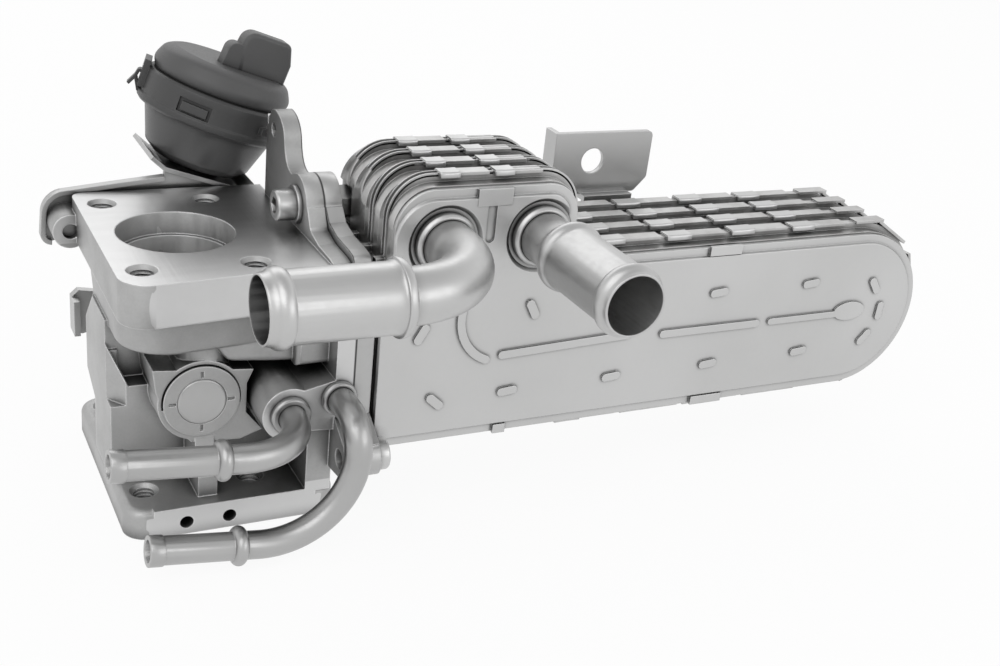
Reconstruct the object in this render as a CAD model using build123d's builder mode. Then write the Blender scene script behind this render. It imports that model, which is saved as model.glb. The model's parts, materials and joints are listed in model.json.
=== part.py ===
"""Plate-type exhaust gas cooler with its bypass valve housing and vacuum actuator.

Origin: centre of the gas bore on the machined top face. +X runs along the cooler core,
+Z is the way the top face looks, -Y is the side with the coolant pipes. Millimetres.
"""
import os
from math import cos, radians, sin, sqrt

from build123d import *

os.makedirs("parts", exist_ok=True)

# Gas flange on top and its twin on the base
bore_r = 18.0            # spigot bore in the top face
bore_depth = 7.4         # down to the ledge
duct_r = 16.5            # gas duct below the ledge
hole_sx = 33.2           # tapped hole spacing along X
hole_sy = 57.4           # tapped hole spacing along Y
tap_r = 3.4              # M8 core radius, top face
base_tap_r = 3.2         # core radius of the base's holes, a little smaller
tap_depth = 7.6

# Housing
left_x = -24.4           # left face
front_y = -41.3          # front of the top block at its left corner, before rounding
front_right_y = -35.8    # and where it meets the flange
rear_y = 40.2            # back of the top block
block_h = 13.4           # top block height
bowl_z = -24.8           # underside of the upper duct
base_top = -72.7
base_bottom = -82.0
base_front = -42.0
base_rear = 37.0
flange_x = 37.7          # left side of the housing's cooler flange
flange_t = 5.9
header_t = 5.7
frame_t = 1.2
flange_front = -44.7
gas_in = (-30.0, -2.0, -22.3, -8.9)      # gas windows to the cooler: y0, y1, z0, z1
gas_out = (-15.0, 7.0, -57.4, -48.6)

# Flange screw in the ear
ear_y, ear_z, ear_r = -2.0, 7.5, 9.8
screw_r = 3.0
screw_hole_r = 3.3
head_r, head_h = 5.0, 6.0
washer_r, washer_t = 6.2, 1.5
nut_af, nut_h = 10.0, 5.0

# Cooler core
core_x0 = flange_x + flange_t + header_t + frame_t
core_end_x = 238.0       # centre of the round end
core_h = 60.0            # height of the long body
flange_low = -core_h - 6
bush_y, bush_z = -51.0, 2 - core_h       # threaded bush in the flange's front lug
bush_r, bush_len = 5.1, 3.8
hump_x0, hump_x1 = core_x0 + 2.9, 115.6
hump_top = 25.6
pitch = 11.0             # one plate layer
core_back = 1.0
core_front = core_back - 4 * pitch
cover_t = 1.7
rim_out = 2.2            # seam flange beyond the shell
tab_out = 2.9            # folded tab beyond the shell
tab_pitch = 26.4
tab_len = 24.2
end_tab = 17 / 32.35     # tab round the end, as a share of its own radius
tab_t = 1.1

# Coolant pipes
elbow_x, elbow_z = 70.0, 8.2
elbow_y = -80.6          # line of the hose end
elbow_bend = 26.5
elbow_end = 1.6
stub_x, stub_z = 102.6, 8.6
stub_end = -101.6
neck_r = 8.2
hose_r = 10.1
hose_bead = 1.05
pipe_wall = 1.2
collar_r, collar_t = 9.8, 3.0
seat_r = 12.6

# Small coolant pipes on the housing
small_r = 4.25
small_wall = 1.0
small_bead = 1.6
ferrule_r = 6.2
port_y = flange_front
upper_x, upper_z = 23.7, -43.9
upper_line_y, upper_bend, upper_end, upper_rise = -69.5, 22.4, -34.8, 5.3
lower_x, lower_z = 38.9, bush_z + 18.2   # keeps clear of the flange's front lug
lower_line_y, lower_bend1, lower_bend2, lower_end, lower_rise = -63.3, 9.4, 26.5, -23.2, 7.1

# Flap shaft, lever and vacuum actuator
shaft_z = -42.2          # shaft along Y through the duct's centre line
shaft_r = 4.0
run_gap = 0.05           # running clearance on the radius
plug_y = -33.0
plug_r = 7.5
plug_seat_r = 11.6
boss_r = 13.2
shaft_boss_r = 8.5
boss_back = 43.0
flap_t = 2.5
flap_gap = 0.3
lever_r = 9.0            # shaft to rod pin
lever_swing = 60.0
lever_y, lever_t = 44.3, 3.0
pin_r = 2.0
act_tilt = 18.5          # actuator axis leans towards +X
act_x, act_y, act_z = 19.96, 56.0, 4.16
can_r = 22.3             # can below its ring
ring_r = can_r + 3.0
cap_r = ring_r - 1.9
can_h, ring_h, cap_h = 15.3, 11.6, 9.3
rod_r = 2.5
sheet_t = 2.0
web_y, web_t = 42.4, 1.6  # bracket web behind the housing
lug_x, lug_z, lug_r, lug_front = -26.2, -9.4, 5.6, 30.0
lug_screw_r = 2.5


def xy(z):
    return Plane.XY.offset(z)


def xz(y):
    return Plane.XZ.offset(-y)


def yz(x):
    return Plane.YZ.offset(x)


def slab(x0, x1, y0, y1, z0, z1, mode=Mode.ADD):
    """Box between limits, inside the running part."""
    with Locations(((x0 + x1) / 2, (y0 + y1) / 2, (z0 + z1) / 2)):
        Box(x1 - x0, y1 - y0, z1 - z0, mode=mode)


def save(part, label):
    part.label = label
    export_step(part, f"parts/{label}.step")


hole_spots = [(i * hole_sx / 2, j * hole_sy / 2) for i in (-1, 1) for j in (-1, 1)]
face_x = flange_x + flange_t
header_x = face_x + header_t


def block_outline(side, inset, corner, back, back_corner):
    """Top block, or the duct bulge under it, seen from above."""
    with BuildSketch() as shape:
        with BuildLine():
            Polyline((flange_x + 1, back), (left_x + side, back), (left_x + side, front_y + inset),
                     (flange_x + 1, front_right_y + inset), (flange_x + 1, back))
        make_face()
        left = shape.vertices().filter_by_position(Axis.X, left_x - 1, left_x + side + 1)
        fillet(left.sort_by(Axis.Y)[0], corner)
        left = shape.vertices().group_by(Axis.X)[0]
        fillet(left.sort_by(Axis.Y)[-1], back_corner)
    return shape.sketch


def flange_profile(post):
    """Outline of the joint between housing and cooler, seen along X."""
    top = 1.3 if post else 3.5
    with BuildSketch() as lower:
        with BuildLine():
            Polyline((flange_front, flange_low), (flange_front, -9), (-37.5, top - 0.6), (-33.5, top),
                     (-23.3, top + 0.4), (-15.6, top + 2.2), (-12, 9.5), (8, 9.5), (14, -2),
                     (14, flange_low), (flange_front, flange_low))
        make_face()
        fillet(lower.vertices().filter_by_position(Axis.Y, flange_low - 1, flange_low + 1), 7)
        fillet(lower.vertices().filter_by_position(Axis.Y, -1, 5), 2.2)
    add(lower.sketch)
    with Locations((ear_y, ear_z)):
        Circle(ear_r)
    with BuildSketch() as lug:
        with BuildLine():
            Polyline((flange_front + 8, bush_z + 14), (flange_front, bush_z + 11.5),
                     (bush_y - 3.6, bush_z + 5.6), (bush_y, bush_z - 6.2), (flange_front + 8, flange_low),
                     (flange_front + 8, bush_z + 14))
        make_face()
        with Locations((bush_y, bush_z)):
            Circle(6.2)
    add(lug.sketch)
    if post:
        with BuildSketch() as arm:
            with BuildLine() as edge:
                Spline((3.5, 15.6), (9.0, 17.0), (11.9, 21.3), (13.4, 26.0), (16.4, 29.2), (21.6, 30.9),
                       (27.2, 29.2), (30.0, 24.5), (31.2, 16.0), tangents=((1, -0.15), (0.05, -1)))
                Polyline((31.2, 16.0), (31.2, -4), (3.5, -4), (3.5, 15.6))
            make_face()
        add(arm.sketch)


# Valve housing: the casting
with BuildPart() as housing:
    # base, its upper edge rounded on the left
    with BuildSketch(xy(base_bottom)) as foot:
        with Locations(((left_x + 41) / 2, (base_front + base_rear) / 2)):
            Rectangle(41 - left_x, base_rear - base_front)
        fillet(foot.vertices().filter_by_position(Axis.X, left_x - 1, left_x + 1), 7)
        fillet(foot.vertices().filter_by_position(Axis.X, 40, 42), 6)
    extrude(amount=base_top - base_bottom)
    shoulder = housing.edges().group_by(Axis.Z)[-1]
    fillet(shoulder.filter_by(lambda e: e.center().X < left_x + 3), 2.6)
    # milled front of the base keeps its sharp upper edge
    slab(-16.5, 34, base_front, base_front + 5, base_top - 4, base_top)
    # top block and the duct bulge drawn in below it
    with BuildSketch(xy(-block_h)):
        add(block_outline(0, 0, 8.4, rear_y, 4))
    extrude(amount=block_h)
    with BuildPart() as bowl:
        with BuildSketch(xy(1 - block_h)):
            add(block_outline(0.2, 0.8, 13, 24, 16))
        with BuildSketch(xy(bowl_z)):
            add(block_outline(1.2, 4.2, 15, 22, 15))
        loft()
        rim = bowl.edges().group_by(Axis.Z)[0].filter_by(lambda e: e.center().X < flange_x)
        fillet(rim, 2.2)
    add(bowl.part)
    # deeper right half of the bulge, seen from the front, and the box beside it
    with BuildPart() as bulge:
        with BuildSketch(xz(-8)):
            with BuildLine():
                Spline((0, -23.0), (4.2, -25.2), (7.4, -29.2), (11, -30.2), tangents=((1, -0.2), (1, -0.1)))
                Polyline((11, -30.2), (28.5, -32.0), (28.5, -14), (0, -14), (0, -23.0))
            make_face()
        extrude(amount=25.6)
        fillet(bulge.faces().sort_by(Axis.Y)[0].edges().filter_by(lambda e: e.center().Z < -23.5), 2.0)
    add(bulge.part)
    with BuildPart() as box:
        slab(27.5, flange_x + 1, -37.6, -10, -31.8, -12)
        fillet(box.faces().sort_by(Axis.Y)[0].edges().filter_by(lambda e: e.center().X < 36 and
                                                                 e.center().Z < -15), 2.0)
    add(box.part)
    # neck between the bulge and the shaft boss
    with BuildSketch(xy(-38)):
        with Locations((2, -24)):
            Circle(8)
    extrude(amount=15)
    # recessed middle, lower body, left wall
    with BuildSketch(xy(base_top - 1)) as middle:
        with Locations(((left_x + flange_x) / 2, 3.75)):
            Rectangle(flange_x - left_x, 33.5)
        corner = middle.vertices().group_by(Axis.X)[0].sort_by(Axis.Y)[-1]
        fillet(corner, 17)
    extrude(amount=bowl_z - base_top + 4)
    slab(left_x, flange_x + 1, -20, 0, base_top - 1, -47.5)
    with BuildSketch(xz(-10)):
        with BuildLine():
            Polyline((left_x, -29.3), (-19.1, -41), (-11.3, -41), (-11.3, -50), (left_x, -50),
                     (left_x, -29.3))
        make_face()
    extrude(amount=10)
    with BuildSketch(xy(-47.5)):
        with BuildLine():
            Polyline((left_x - 1, -13), (left_x, -13.9), (-19.3, -20.6), (left_x - 1, -20.6),
                     (left_x - 1, -13))
        make_face()
    extrude(amount=20, mode=Mode.SUBTRACT)
    with BuildSketch(yz(left_x)):
        with BuildLine():
            Polyline((-6, -22), (-7.6, -28.6), (-13.9, -31.6), (-13.9, -50.3), (5.1, -56.1), (17, -51.2),
                     (17.5, -33.5), (6, -22), (-6, -22))
        make_face()
    extrude(amount=3.4)
    # boss for the staked plug, with the pad round it
    with BuildSketch(xz(-8)):
        with BuildLine():
            Polyline((-14.6, -30.6), (15.8, -33.5), (13.8, -38), (13.8, -48), (19, -54.5), (12, -57),
                     (-3, -56), (-10.7, -47.1), (-13.7, -37.9), (-14.6, -30.6))
        make_face()
        with Locations((0, shaft_z)):
            Circle(boss_r)
    extrude(amount=-plug_y - 8.7)
    with BuildSketch(xz(-8)):
        with Locations((0, shaft_z)):
            Circle(plug_seat_r)
    extrude(amount=-plug_y - 8)
    with BuildSketch(xz(plug_y + 2.2)) as groove:
        with Locations((0, shaft_z)):
            Circle(plug_seat_r + 0.5)
            Circle(plug_seat_r, mode=Mode.SUBTRACT)
        with Locations((0, shaft_z - 14)):
            Rectangle(40, 24, mode=Mode.SUBTRACT)
    extrude(amount=3, mode=Mode.SUBTRACT)
    # rib from the boss down to the base
    with BuildSketch(yz(-2)):
        with BuildLine():
            Polyline((-37.2, base_top - 1), (-37.2, -66), (-32, -54), (-19, -52), (-19, base_top - 1),
                     (-37.2, base_top - 1))
        make_face()
    extrude(amount=5.9)
    # block that carries the two small pipes, and the wall under it
    with BuildSketch(xz(-10)):
        with BuildLine():
            Polyline((23.7, -35.3), (28.2, -36.3), (35.8, -34.6), (flange_x + 1, -33.8),
                     (flange_x + 1, -51), (30.9, -50.4), (20, -51.5), (23.7, -35.3))
        make_face()
        with Locations((upper_x, upper_z)):
            Circle(8.6)
    extrude(amount=-port_y - 10)
    slab(30.5, flange_x + 1, base_front, -10, base_top - 1, -50.5)
    # rear boss of the shaft
    with BuildSketch(xz(boss_back)):
        with Locations((0, shaft_z)):
            Circle(shaft_boss_r)
    extrude(amount=boss_back)
    # lug for the bracket screw at the left rear
    with BuildSketch(xz(web_y)):
        with Locations((lug_x, lug_z)):
            Circle(lug_r)
    extrude(amount=web_y - lug_front)
    # cooler flange with its ear and the post behind
    with BuildSketch(yz(flange_x)):
        flange_profile(True)
    extrude(amount=flange_t)
    # duct: spigot bore, straight run to the base, and a port to the cooler above and below
    with BuildSketch(xy(0)):
        Circle(bore_r)
    extrude(amount=-bore_depth, mode=Mode.SUBTRACT)
    with BuildSketch(xy(0)):
        Circle(duct_r)
    extrude(amount=base_bottom, mode=Mode.SUBTRACT)
    slab(0, face_x, *gas_in, mode=Mode.SUBTRACT)
    slab(0, face_x, *gas_out, mode=Mode.SUBTRACT)
    # shaft bores, plug seat
    with BuildSketch(xz(boss_back + 1)):
        with Locations((0, shaft_z)):
            Circle(shaft_r + run_gap)
    extrude(amount=boss_back + 1 - plug_y + 1, mode=Mode.SUBTRACT)
    with BuildSketch(xz(plug_y + 4)):
        with Locations((0, shaft_z)):
            Circle(plug_r)
    extrude(amount=5, mode=Mode.SUBTRACT)
    # stake marks round the plug
    with BuildSketch(xz(plug_y + 0.6)):
        with Locations((0, shaft_z)):
            with PolarLocations(plug_r + 1.4, 4):
                Rectangle(2.2, 0.9)
    extrude(amount=1, mode=Mode.SUBTRACT)
    # tapped holes top and bottom
    with Locations(*[(x, y, -tap_depth / 2) for x, y in hole_spots]):
        Cylinder(tap_r, tap_depth, mode=Mode.SUBTRACT)
    with Locations(*[(x, y, (base_top + base_bottom) / 2) for x, y in hole_spots]):
        Cylinder(base_tap_r, base_top - base_bottom + 6, mode=Mode.SUBTRACT)
    # two small tapped holes in the front of the base, one in the post, one in the lug
    with BuildSketch(xz(base_front + 9)):
        with Locations((-6.6, -77.9), (6.6, -77.9)):
            Circle(2.1)
    extrude(amount=10, mode=Mode.SUBTRACT)
    with BuildSketch(yz(flange_x)):
        with Locations((23.7, 24.2)):
            Circle(2.4)
    extrude(amount=4, mode=Mode.SUBTRACT)
    with BuildSketch(yz(flange_x - 1)):
        with Locations((ear_y, ear_z), (bush_y, bush_z)):
            Circle(screw_hole_r)
    extrude(amount=flange_t + 2, mode=Mode.SUBTRACT)
    with BuildSketch(xz(web_y)):
        with Locations((lug_x, lug_z)):
            Circle(lug_screw_r)
    extrude(amount=web_y - lug_front, mode=Mode.SUBTRACT)
    # mouths of the two pipe ports
    with BuildSketch(xz(port_y + 5)):
        with Locations((upper_x, upper_z), (lower_x, lower_z)):
            Circle(small_r)
    extrude(amount=6, mode=Mode.SUBTRACT)
save(housing.part, "valve_housing")

# Disc that closes the front end of the shaft bore
with BuildPart() as core_plug:
    with BuildSketch(xz(plug_y + 4)):
        with Locations((0, shaft_z)):
            Circle(plug_r)
    extrude(amount=4.4)
    fillet(core_plug.faces().sort_by(Axis.Y)[0].edges(), 0.7)
save(core_plug.part, "core_plug")

# Flange plate on the cooler's side, with windows for the gas
with BuildPart() as header:
    with BuildSketch(yz(face_x)):
        flange_profile(False)
        with Locations((ear_y, ear_z)):
            Circle(screw_hole_r, mode=Mode.SUBTRACT)
        with Locations((bush_y, bush_z)):
            Circle(screw_r, mode=Mode.SUBTRACT)
    extrude(amount=header_t)
    for window in (gas_in, gas_out):
        slab(face_x, header_x, *window, mode=Mode.SUBTRACT)
save(header.part, "header_flange")


def core_outline(grow):
    """Cooler plate seen along Y: long round-ended body with a hump over its left end."""
    with BuildSketch() as shape:
        with Locations(((core_x0 + core_end_x) / 2, -core_h / 2)):
            Rectangle(core_end_x - core_x0, core_h + 2 * grow)
        with Locations((core_end_x, -core_h / 2)):
            Circle(core_h / 2 + grow)
        low = -core_h / 2
        with Locations(((hump_x0 + hump_x1 + grow) / 2, (low + hump_top + grow) / 2)):
            Rectangle(hump_x1 + grow - hump_x0, hump_top + grow - low)
        fillet(shape.vertices().group_by(Axis.Y)[-1].sort_by(Axis.X)[0], 13)
        fillet(shape.vertices().group_by(Axis.Y)[-1].sort_by(Axis.X)[-1], 11 + grow)
        corner = shape.vertices().filter_by_position(Axis.X, hump_x1 + grow - 0.5, hump_x1 + grow + 0.5)
        fillet(corner.sort_by(Axis.Y)[0], 4)
    add(shape.sketch)


def seam_tabs(y_mid, depth):
    """Folded tabs along the long edges, over the hump and round the end."""
    z_top = tab_out - tab_t / 2
    over = hump_top + z_top
    spots = [(154.3 + (i + 0.5) * tab_pitch - 1.1, z_top, 0) for i in range(-1, 3)]
    spots.append((243.0, z_top, 0))
    spots += [(spot[0] - 8, -core_h - z_top, 0) for spot in spots]
    spots += [(77.0, over, 0), (95.4, over, 0)]
    for i, (x, z, turn) in enumerate(spots):
        length = 13.0 if x > 234 and z > 0 else tab_len
        if z > 10:
            length = 16.6
        lift = 0.25 if i % 2 else 0.0
        with Locations((x, y_mid, z - lift if z > 0 else z + lift)):
            Box(length, depth, tab_t)
    reach = core_h / 2 + z_top
    for angle in (58, 18, -22, -62):
        a = radians(angle)
        place = (core_end_x + reach * cos(a), y_mid, -core_h / 2 + reach * sin(a))
        with Locations(Location(place, (0, 90 - angle, 0))):
            Box(end_tab * reach, depth, tab_t)


def nut_pocket():
    """Room for the nut, cut into the hump's rear plates."""
    slab(core_x0 - 2, header_x + nut_h + 0.5, ear_y - 6.6, ear_y + 6.6, 1.0, ear_z + 6.6, Mode.SUBTRACT)


def core_layer(y_back, y_front):
    """One pair of pressed plates with its crimped seam."""
    y_mid = (y_back + y_front) / 2
    with BuildPart() as layer:
        with BuildSketch(xz(y_back)):
            core_outline(0)
        extrude(amount=y_back - y_front)
        with BuildSketch(xz(y_mid + 1.3)):
            core_outline(rim_out)
        extrude(amount=2.6)
        seam_tabs(y_mid, 4.4)
        if y_back > ear_y:
            nut_pocket()
    return layer.part


for n in range(4):
    back = core_back - n * pitch
    save(core_layer(back, back - pitch), f"core_plate_{n + 1}")

# Braze frame between flange plate and plates
with BuildPart() as frame:
    with BuildSketch(yz(header_x)) as ring:
        with Locations(((core_back + core_front) / 2, -core_h / 2)):
            Rectangle(core_back - core_front - 2.6, core_h - 2)
        fillet(ring.vertices(), 2)
    extrude(amount=frame_t)
    for window in (gas_in, gas_out):
        slab(header_x, core_x0, *window, mode=Mode.SUBTRACT)
save(frame.part, "braze_frame")

# Rear cover
with BuildPart() as rear_cover:
    with BuildSketch(xz(core_back + cover_t)):
        core_outline(-0.5)
    extrude(amount=cover_t)
    with BuildSketch(xz(core_back + cover_t + 1)):
        core_outline(-5)
    extrude(amount=1)
    nut_pocket()
save(rear_cover.part, "rear_cover")

# Front cover: raised field, stub seats, stiffening beads and dimples
face_y = core_front - cover_t
field_y = face_y - 0.9
with BuildPart() as front_cover:
    with BuildSketch(xz(core_front)):
        core_outline(-0.5)
    extrude(amount=cover_t)
    with BuildSketch(xz(face_y)):
        core_outline(-3.2)
    extrude(amount=0.9, taper=30)
    for x, z in ((elbow_x, elbow_z), (stub_x, stub_z)):
        with Locations(Location((x, field_y + 0.4, z), (90, 0, 0))):
            Cone(seat_r - 1.6, seat_r, 1.4, mode=Mode.SUBTRACT)
    # groove that splits the hump between the two seats
    with BuildSketch(xz(field_y + 0.7)):
        with Locations((84.6, 14)):
            SlotOverall(13, 3.0, rotation=90)
    extrude(amount=1, mode=Mode.SUBTRACT)
    # short dimples and long beads, pressed outwards
    with BuildSketch(xz(field_y)):
        for x, z, turn in ((175.3, -16.9, 5), (215.5, -17, 5), (246.0, -20.5, -55), (251, -31, 88),
                           (246.3, -41.3, 48), (215.9, -43.7, 5), (175.7, -44.1, 5), (136, -44.2, 5),
                           (96.5, -44.5, 5), (70.8, -45.2, -42), (102.5, -16.2, -62), (64.3, -21, 60)):
            with Locations((x, z)):
                SlotOverall(7.2, 2.9, rotation=turn)
        with Locations((116.8, -30.2)):
            SlotOverall(50, 2.8, rotation=2.5)
        with Locations((174.2, -30.4)):
            SlotOverall(42, 2.8)
        with Locations((216, -30.3)):
            SlotOverall(34, 2.4)
        with Locations((236, -29.6)):
            Ellipse(7, 3.6)
    extrude(amount=0.75)
    with BuildSketch(xz(field_y)):
        with BuildLine() as bow:
            ThreePointArc((77.6, -15), (79.6, -25.4), (87.4, -32.2))
        trace(bow.edges(), line_width=2.7)
        with Locations((77.6, -15), (87.4, -32.2)):
            Circle(1.35)
    extrude(amount=0.75)
    # clips of the outer fold lapped over the face
    for x, z, wide, tall in ((175.5, -1.6, 13, 3.4), (85.2, hump_top - 3.4, 11.6, 5.4),
                             (178, -core_h + 1.6, 13, 3.2), (95.2, -core_h + 1.6, 4.4, 3.2)):
        with Locations((x, face_y - 0.5, z)):
            Box(wide, 1.2, tall)
save(front_cover.part, "front_cover")

# Collars that carry the two large stubs
seat_y = field_y + 1.1
with BuildPart() as collars:
    for x, z in ((elbow_x, elbow_z), (stub_x, stub_z)):
        with BuildSketch(xz(seat_y)):
            with Locations((x, z)):
                Circle(collar_r)
        extrude(amount=collar_t)
    chamfer(collars.edges().group_by(Axis.Y)[0], 0.9)
    for x, z in ((elbow_x, elbow_z), (stub_x, stub_z)):
        with BuildSketch(xz(seat_y)):
            with Locations((x, z)):
                Circle(neck_r)
        extrude(amount=collar_t, mode=Mode.SUBTRACT)
save(collars.part, "stub_collars")

# Straight coolant stub
with BuildPart() as straight_pipe:
    flare = stub_end + 37.5
    with BuildSketch(Plane.YZ) as section:
        with BuildLine():
            Polyline((seat_y, neck_r - pipe_wall), (seat_y, neck_r), (flare + 6.5, neck_r))
            Spline((flare + 6.5, neck_r), (flare + 3.2, neck_r + 1.0), (flare + 0.8, hose_r + 1.0),
                   (flare - 1.2, hose_r + 0.9), (flare - 3.6, hose_r), tangents=((-1, 0), (-1, 0)))
            Polyline((flare - 3.6, hose_r), (stub_end + 6.5, hose_r))
            ThreePointArc((stub_end + 6.5, hose_r), (stub_end + 4.2, hose_r + hose_bead),
                          (stub_end + 1.9, hose_r))
            Polyline((stub_end + 1.9, hose_r), (stub_end + 1.2, hose_r - 0.3), (stub_end, hose_r - 0.5),
                     (stub_end, hose_r - pipe_wall), (flare - 1.5, hose_r - pipe_wall),
                     (flare + 4.5, neck_r - pipe_wall), (seat_y, neck_r - pipe_wall))
        make_face()
    revolve(axis=Axis.Y)
straight_pipe.part.locate(Location((stub_x, 0, stub_z)))
save(straight_pipe.part, "straight_pipe")

# Bent coolant stub: it leaves the cover, turns and runs back along the housing
hose_start = elbow_x - elbow_bend - 2.6
with BuildPart() as elbow_pipe:
    with BuildLine() as elbow_path:
        Polyline((elbow_x, seat_y, elbow_z), (elbow_x, elbow_y + elbow_bend, elbow_z))
        TangentArc((elbow_x, elbow_y + elbow_bend, elbow_z), (elbow_x - elbow_bend, elbow_y, elbow_z),
                   tangent=(0, -1, 0))
        Polyline((elbow_x - elbow_bend, elbow_y, elbow_z), (hose_start - 3, elbow_y, elbow_z))
    with BuildSketch(Plane((elbow_x, seat_y, elbow_z), z_dir=(0, -1, 0))):
        Circle(neck_r)
        Circle(neck_r - pipe_wall, mode=Mode.SUBTRACT)
    sweep(path=elbow_path.wire())
    with BuildSketch(Plane((0, elbow_y, elbow_z), x_dir=(1, 0, 0), z_dir=(0, -1, 0))):
        with BuildLine():
            Polyline((hose_start + 1.2, neck_r - 0.4), (hose_start + 1.2, neck_r))
            Spline((hose_start + 1.2, neck_r), (hose_start + 0.4, hose_r + 0.8),
                   (hose_start - 1.6, hose_r + 1.1), (hose_start - 4.2, hose_r),
                   tangents=((0, 1), (-1, 0)))
            Polyline((hose_start - 4.2, hose_r), (elbow_end + 7.2, hose_r))
            ThreePointArc((elbow_end + 7.2, hose_r), (elbow_end + 4.8, hose_r + hose_bead),
                          (elbow_end + 2.4, hose_r))
            Polyline((elbow_end + 2.4, hose_r), (elbow_end + 1.4, hose_r - 0.3), (elbow_end, hose_r - 0.5),
                     (elbow_end, hose_r - pipe_wall), (hose_start - 3, hose_r - pipe_wall),
                     (hose_start - 0.4, neck_r - 0.4), (hose_start + 1.2, neck_r - 0.4))
        make_face()
    revolve(axis=Axis((0, elbow_y, elbow_z), (1, 0, 0)))
save(elbow_pipe.part, "elbow_pipe")


def small_pipe(path, end, way, length):
    """Swept tube with a swelled tip at its end and a round bead some way back from it."""
    with BuildPart() as pipe:
        with BuildSketch(Plane(path @ 0, z_dir=(0, -1, 0))):
            Circle(small_r)
            Circle(small_r - small_wall, mode=Mode.SUBTRACT)
        sweep(path=path)
        with BuildSketch(Plane(end, z_dir=way)):
            Circle(small_r + 0.35)
            Circle(small_r - small_wall, mode=Mode.SUBTRACT)
        extrude(amount=4.2)
        with Locations(Plane(end + way * length, z_dir=way).location):
            Torus(small_r - 0.4, 2.1)
            Cylinder(small_r - small_wall, 6, mode=Mode.SUBTRACT)
    return pipe.part


def rise_dir(angle):
    return Vector(-cos(radians(angle)), 0, sin(radians(angle)))


# Upper small pipe: out of the block, one bend, along the housing
out_dir = rise_dir(upper_rise)
with BuildLine() as upper_path:
    start = Vector(upper_x, port_y + 4.6, upper_z)
    bend_in = Vector(upper_x, upper_line_y + upper_bend, upper_z)
    bend_out = bend_in + Vector(0, -upper_bend, 0) + out_dir * upper_bend
    upper_tip = bend_out + out_dir * ((bend_out.X - upper_end) / cos(radians(upper_rise)))
    Line(start, bend_in)
    TangentArc(bend_in, bend_out, tangent=(0, -1, 0))
    Line(bend_out, upper_tip)
save(small_pipe(upper_path.wire(), upper_tip, -out_dir, 31.0), "small_pipe_upper")

# Lower small pipe: out, down, then a wide bend back along the base
out_dir = rise_dir(lower_rise)
down = Vector(0, 0, -1)
with BuildLine() as lower_path:
    start = Vector(lower_x, port_y + 4.6, lower_z)
    turn_in = Vector(lower_x, lower_line_y + lower_bend1, lower_z)
    turn_out = turn_in + Vector(0, -lower_bend1, -lower_bend1)
    swing = radians(90 - lower_rise)
    # end of an arc that starts downwards and finishes along the pipe's run
    wide_end = turn_out + Vector(-lower_bend2 * (1 - cos(swing)), 0, -lower_bend2 * sin(swing))
    wide_dir = Vector(-sin(swing), 0, -cos(swing))
    level = radians(2 * lower_rise)
    centre = wide_end + Vector(-cos(swing), 0, sin(swing)) * lower_bend2
    run_in = centre + Vector(-sin(level / 2), 0, -cos(level / 2)) * lower_bend2
    Line(start, turn_in)
    TangentArc(turn_in, turn_out, tangent=(0, -1, 0))
    TangentArc(turn_out, run_in, tangent=(0, 0, -1))
    lower_tip = run_in + out_dir * ((run_in.X - lower_end) / cos(radians(lower_rise)))
    Line(run_in, lower_tip)
save(small_pipe(lower_path.wire(), lower_tip, -out_dir, 26.5), "small_pipe_lower")

# Ferrules brazed round the small pipes at the block
with BuildPart() as ferrules:
    for x, z in ((upper_x, upper_z), (lower_x, lower_z)):
        with BuildSketch(xz(port_y)):
            with Locations((x, z)):
                Circle(ferrule_r if x < 30 else ferrule_r - 0.6)
        extrude(amount=2.2)
    chamfer(ferrules.edges().group_by(Axis.Y)[0], 0.6)
    for x, z in ((upper_x, upper_z), (lower_x, lower_z)):
        with BuildSketch(xz(port_y)):
            with Locations((x, z)):
                Circle(small_r)
        extrude(amount=2.2, mode=Mode.SUBTRACT)
save(ferrules.part, "pipe_ferrules")

# Screw, washer and nut through the two ears
with BuildPart() as flange_screw:
    washer_x = flange_x - washer_t
    with Locations(Location((washer_x - head_h / 2, ear_y, ear_z), (0, 90, 0))):
        Cylinder(head_r, head_h)
    fillet(flange_screw.faces().sort_by(Axis.X)[0].edges(), 0.8)
    with BuildSketch(yz(washer_x - head_h)):
        with Locations((ear_y, ear_z)):
            RegularPolygon(2.9, 6)
    extrude(amount=3.2, mode=Mode.SUBTRACT)
    shank = header_x + nut_h - washer_x
    with Locations(Location((washer_x + shank / 2, ear_y, ear_z), (0, 90, 0))):
        Cylinder(screw_r, shank)
save(flange_screw.part, "flange_screw")

with BuildPart() as flange_washer:
    with BuildSketch(yz(washer_x)):
        with Locations((ear_y, ear_z)):
            Circle(washer_r)
            Circle(screw_r, mode=Mode.SUBTRACT)
    extrude(amount=washer_t)
save(flange_washer.part, "flange_washer")

with BuildPart() as flange_nut:
    with BuildSketch(yz(header_x)):
        with Locations((ear_y, ear_z)):
            RegularPolygon(nut_af / sqrt(3), 6, rotation=90)
            Circle(screw_r, mode=Mode.SUBTRACT)
    extrude(amount=nut_h)
save(flange_nut.part, "flange_nut")

# Threaded bush at the flange's lower front corner
with BuildPart() as bush:
    with BuildSketch(yz(header_x)):
        with Locations((bush_y, bush_z)):
            Circle(bush_r)
    extrude(amount=bush_len)
    chamfer(bush.faces().sort_by(Axis.X)[-1].edges(), 0.6)
    with BuildSketch(yz(header_x)):
        with Locations((bush_y, bush_z)):
            Circle(screw_r)
    extrude(amount=bush_len, mode=Mode.SUBTRACT)
save(bush.part, "flange_bush")

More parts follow.
